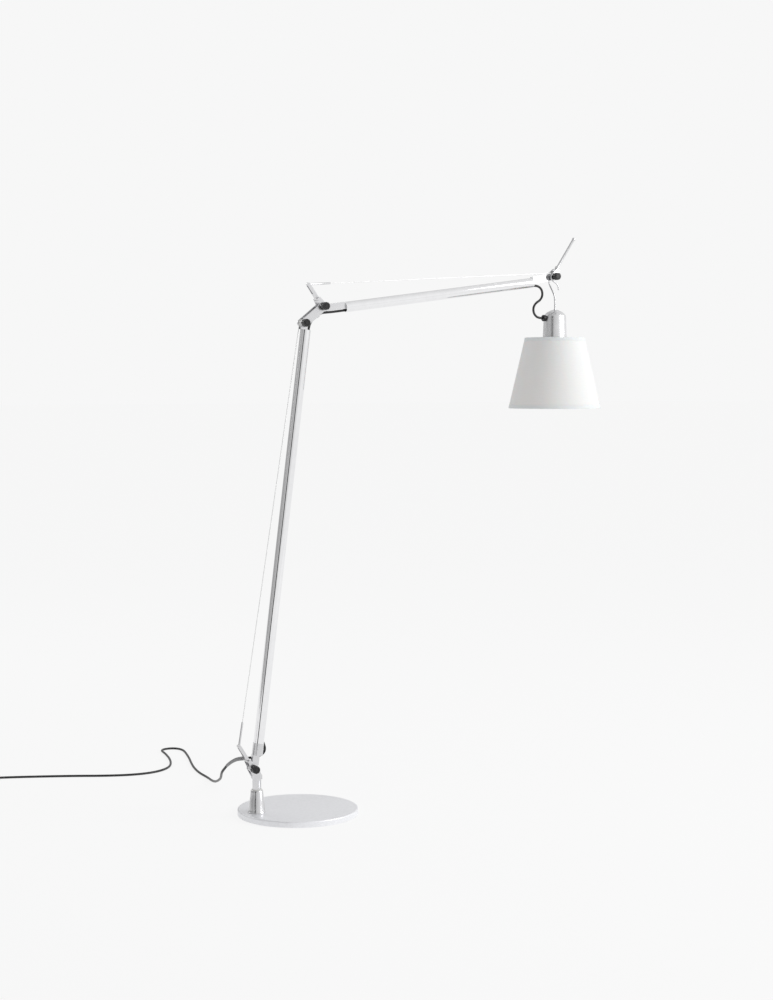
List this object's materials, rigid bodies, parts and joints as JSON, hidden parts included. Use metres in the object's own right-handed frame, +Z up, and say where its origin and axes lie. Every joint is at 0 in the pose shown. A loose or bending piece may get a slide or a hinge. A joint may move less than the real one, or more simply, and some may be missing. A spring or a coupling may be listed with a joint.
{
  "type": "adjustable arm floor lamp",
  "caption": "Floor lamp with a round weighted foot, a swivelling jointed arm balanced by springs and wires, and a conical shade on a tilting head with a handle.",
  "frame": {"origin": "centre of the round foot's underside, on the floor", "axes": "+Z up, +X from the stem towards the shade, knobs on the -Y side"},
  "size_m": [1.2044, 0.8007, 1.1133],
  "materials": {
    "base_paint": "satin light grey paint",
    "weight_iron": "raw casting",
    "foot_pad": "matte sheet",
    "steel": "drawn, plated",
    "nickel": "bright plated",
    "cast_alloy": "satin polished casting",
    "polished_tube": "polished drawn tube",
    "dark_plastic": "black moulded",
    "bearing_plastic": "natural acetal",
    "shade_fabric": "off-white satin cloth on a stiff lining",
    "bulb_glass": "opal glass",
    "cord_black": "black sheath",
    "cord_grey": "grey sheath"
  },
  "bodies": {
    "base": {"base_cover": "base_paint", "base_weight": "weight_iron", "base_pad": "foot_pad", "cone_screws": "steel", "base_cone": "cast_alloy", "stem_bush": "bearing_plastic", "mains_cord": "cord_black", "mains_coil": "cord_black", "mains_plug": "cord_black"},
    "swivel": {"stem": "cast_alloy", "stem_clip": "steel", "lower_axle": "steel", "lower_washers": "bearing_plastic", "lower_prong": "cast_alloy", "cord_relief": "cord_grey", "lower_loop_cable": "cord_black"},
    "lower_arm": {"lower_tongue": "cast_alloy", "lower_tube": "polished_tube", "lower_fork": "cast_alloy", "lower_spring": "steel", "lower_arm_cable": "cord_black"},
    "link": {"elbow_link": "cast_alloy", "elbow_axles": "steel", "elbow_washers": "bearing_plastic", "upper_prong": "cast_alloy", "elbow_cable_a": "cord_black", "elbow_cable_b": "cord_black"},
    "upper_arm": {"upper_tongue": "cast_alloy", "upper_tube": "polished_tube", "upper_fork": "cast_alloy", "upper_spring": "steel", "upper_arm_cable": "cord_black"},
    "head": {"head_axle": "steel", "head_washers": "bearing_plastic", "head_hub": "cast_alloy", "handle_collar": "nickel", "handle_rod": "nickel", "hanger": "steel", "head_hook": "steel", "socket_cover": "cast_alloy", "cover_nut": "steel", "cable_gland": "dark_plastic", "lampholder": "dark_plastic", "shade_carrier": "steel", "ring_nut": "dark_plastic", "shade": "shade_fabric", "shade_rims": "shade_fabric", "bulb": "bulb_glass", "bulb_cap": "steel", "head_cable": "cord_black"},
    "lower_barrel": {"lower_wire_barrel": "nickel"},
    "lower_line": {"lower_wire": "steel"},
    "lower_wheel": {"lower_pulley": "bearing_plastic"},
    "upper_barrel": {"upper_wire_barrel": "nickel"},
    "upper_line": {"upper_wire": "steel"},
    "upper_wheel": {"upper_pulley": "bearing_plastic"},
    "lower_knob_body": {"lower_knob": "dark_plastic"},
    "elbow_knob_a_body": {"elbow_knob_a": "dark_plastic"},
    "elbow_knob_b_body": {"elbow_knob_b": "dark_plastic"},
    "head_knob_body": {"head_knob": "dark_plastic"}
  },
  "joints": [
    {"name": "base_swivel", "type": "hinge", "parent": "base", "child": "swivel", "pos_m": [-0.0845, 0, 0.056], "axis": [0, 0, 1], "range_deg": [-90, 90], "deforming": ["mains_cord"]},
    {"name": "lower_arm_tilt", "type": "hinge", "parent": "swivel", "child": "lower_arm", "pos_m": [-0.0935, 0, 0.097], "axis": [0, 1, 0], "range_deg": [-15, 30], "deforming": ["lower_loop_cable", "lower_spring", "lower_wire"]},
    {"name": "elbow_link_tilt", "type": "hinge", "parent": "lower_arm", "child": "link", "pos_m": [0.01344, 0, 0.93299], "axis": [0, 1, 0], "range_deg": [-30, 30], "deforming": ["elbow_cable_a"]},
    {"name": "upper_arm_tilt", "type": "hinge", "parent": "link", "child": "upper_arm", "pos_m": [0.05292, 0, 0.96496], "axis": [0, 1, 0], "range_deg": [-35, 40], "deforming": ["elbow_cable_b", "upper_spring", "upper_wire"]},
    {"name": "head_tilt", "type": "hinge", "parent": "upper_arm", "child": "head", "pos_m": [0.56143, 0, 1.03344], "axis": [0, 1, 0], "range_deg": [-70, 45], "deforming": ["head_cable"]},
    {"name": "lower_wire_swing", "type": "hinge", "parent": "swivel", "child": "lower_barrel", "pos_m": [-0.12019, 0, 0.14054], "axis": [0, 1, 0], "range_deg": [-16.1, 31.69]},
    {"name": "lower_wire_slide", "type": "slide", "parent": "lower_barrel", "child": "lower_line", "axis": [0.1577, 0, 0.9875], "range_m": [-0.01074, 0.02098], "deforming": ["lower_wire"]},
    {"name": "lower_pulley_spin", "type": "hinge", "parent": "lower_arm", "child": "lower_wheel", "pos_m": [0.01344, 0, 0.93299], "axis": [0, 1, 0], "range_deg": [-168.6, 84.8]},
    {"name": "upper_wire_swing", "type": "hinge", "parent": "link", "child": "upper_barrel", "pos_m": [0.02431, 0, 1.0058], "axis": [0, 1, 0], "range_deg": [-33.74, 38.49]},
    {"name": "upper_wire_slide", "type": "slide", "parent": "upper_barrel", "child": "upper_line", "axis": [0.9979, 0, 0.0644], "range_m": [-0.02436, 0.02777], "deforming": ["upper_wire"]},
    {"name": "upper_pulley_spin", "type": "hinge", "parent": "upper_arm", "child": "upper_wheel", "pos_m": [0.56143, 0, 1.03344], "axis": [0, 1, 0], "range_deg": [-224.2, 196.3]},
    {"name": "lower_knob_turn", "type": "hinge", "parent": "swivel", "child": "lower_knob_body", "pos_m": [-0.0935, -0.015, 0.097], "axis": [0, 1, 0], "range_deg": [-180, 180]},
    {"name": "elbow_knob_a_turn", "type": "hinge", "parent": "link", "child": "elbow_knob_a_body", "pos_m": [0.01344, -0.015, 0.93299], "axis": [0, 1, 0], "range_deg": [-180, 180]},
    {"name": "elbow_knob_b_turn", "type": "hinge", "parent": "link", "child": "elbow_knob_b_body", "pos_m": [0.05292, -0.015, 0.96496], "axis": [0, 1, 0], "range_deg": [-180, 180]},
    {"name": "head_knob_turn", "type": "hinge", "parent": "head", "child": "head_knob_body", "pos_m": [0.56143, -0.015, 1.03344], "axis": [0, 1, 0], "range_deg": [-180, 180]}
  ],
  "couplings": [
    {"joint": "lower_wire_swing", "follows": "lower_arm_tilt", "ratio": 1.0397},
    {"joint": "lower_wire_slide", "follows": "lower_arm_tilt", "m_per_rad": 0.03911},
    {"joint": "lower_pulley_spin", "follows": "lower_arm_tilt", "ratio": -5.5871},
    {"joint": "upper_wire_swing", "follows": "upper_arm_tilt", "ratio": 0.9498},
    {"joint": "upper_wire_slide", "follows": "upper_arm_tilt", "m_per_rad": 0.03906},
    {"joint": "upper_pulley_spin", "follows": "upper_arm_tilt", "ratio": -5.58}
  ]
}
